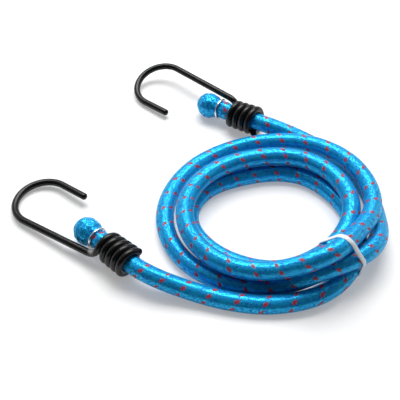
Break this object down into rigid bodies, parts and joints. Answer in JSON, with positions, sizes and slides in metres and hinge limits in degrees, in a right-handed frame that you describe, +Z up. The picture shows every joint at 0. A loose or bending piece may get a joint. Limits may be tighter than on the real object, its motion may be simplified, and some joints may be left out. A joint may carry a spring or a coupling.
{
  "type": "bungee cord",
  "caption": "Coiled and tied elastic bungee cord in a flecked braided sheath, with a coated wire hook wound onto each end.",
  "frame": {"origin": "centre of the part's bounding box, on the floor that the coil lies on", "axes": "+X away from the hooks along the part's length, +Z up from the floor"},
  "size_m": [0.1684, 0.1318, 0.0271],
  "materials": {
    "braid": "braided polyester, blue with red tracer flecks",
    "latex": "natural latex strands",
    "hook_wire": "black coated steel wire, satin",
    "clip_wire": "bright bare wire",
    "tie_plastic": "pale translucent band"
  },
  "bodies": {
    "coil": {"sheath_coil": "braid", "core_coil": "latex", "coil_tie": "tie_plastic", "sheath_tail_a": "braid", "core_tail_a": "latex", "sheath_tail_b": "braid", "core_tail_b": "latex"},
    "end_a": {"sheath_end_a": "braid", "core_end_a": "latex", "end_clip_a": "clip_wire"},
    "hook_a": {"hook_a": "hook_wire"},
    "end_b": {"sheath_end_b": "braid", "core_end_b": "latex", "end_clip_b": "clip_wire"},
    "hook_b": {"hook_b": "hook_wire"}
  },
  "joints": [
    {"name": "stretch_a", "type": "slide", "parent": "coil", "child": "end_a", "axis": [-0.9928, -0.1201, 0], "range_m": [0, 0.045], "stiffness_N_per_m": 2000, "deforming": ["sheath_tail_a", "core_tail_a"]},
    {"name": "swivel_a", "type": "hinge", "parent": "end_a", "child": "hook_a", "pos_m": [-0.0243, 0.0518, 0.0076], "axis": [-0.9898, -0.1198, -0.0767], "continuous": true},
    {"name": "stretch_b", "type": "slide", "parent": "coil", "child": "end_b", "axis": [-0.9971, 0.0767, 0], "range_m": [0, 0.045], "stiffness_N_per_m": 2000, "deforming": ["sheath_tail_b", "core_tail_b"]},
    {"name": "swivel_b", "type": "hinge", "parent": "end_b", "child": "hook_b", "pos_m": [-0.01331, -0.05309, 0.0075], "axis": [-0.9947, 0.0765, -0.068], "continuous": true}
  ]
}
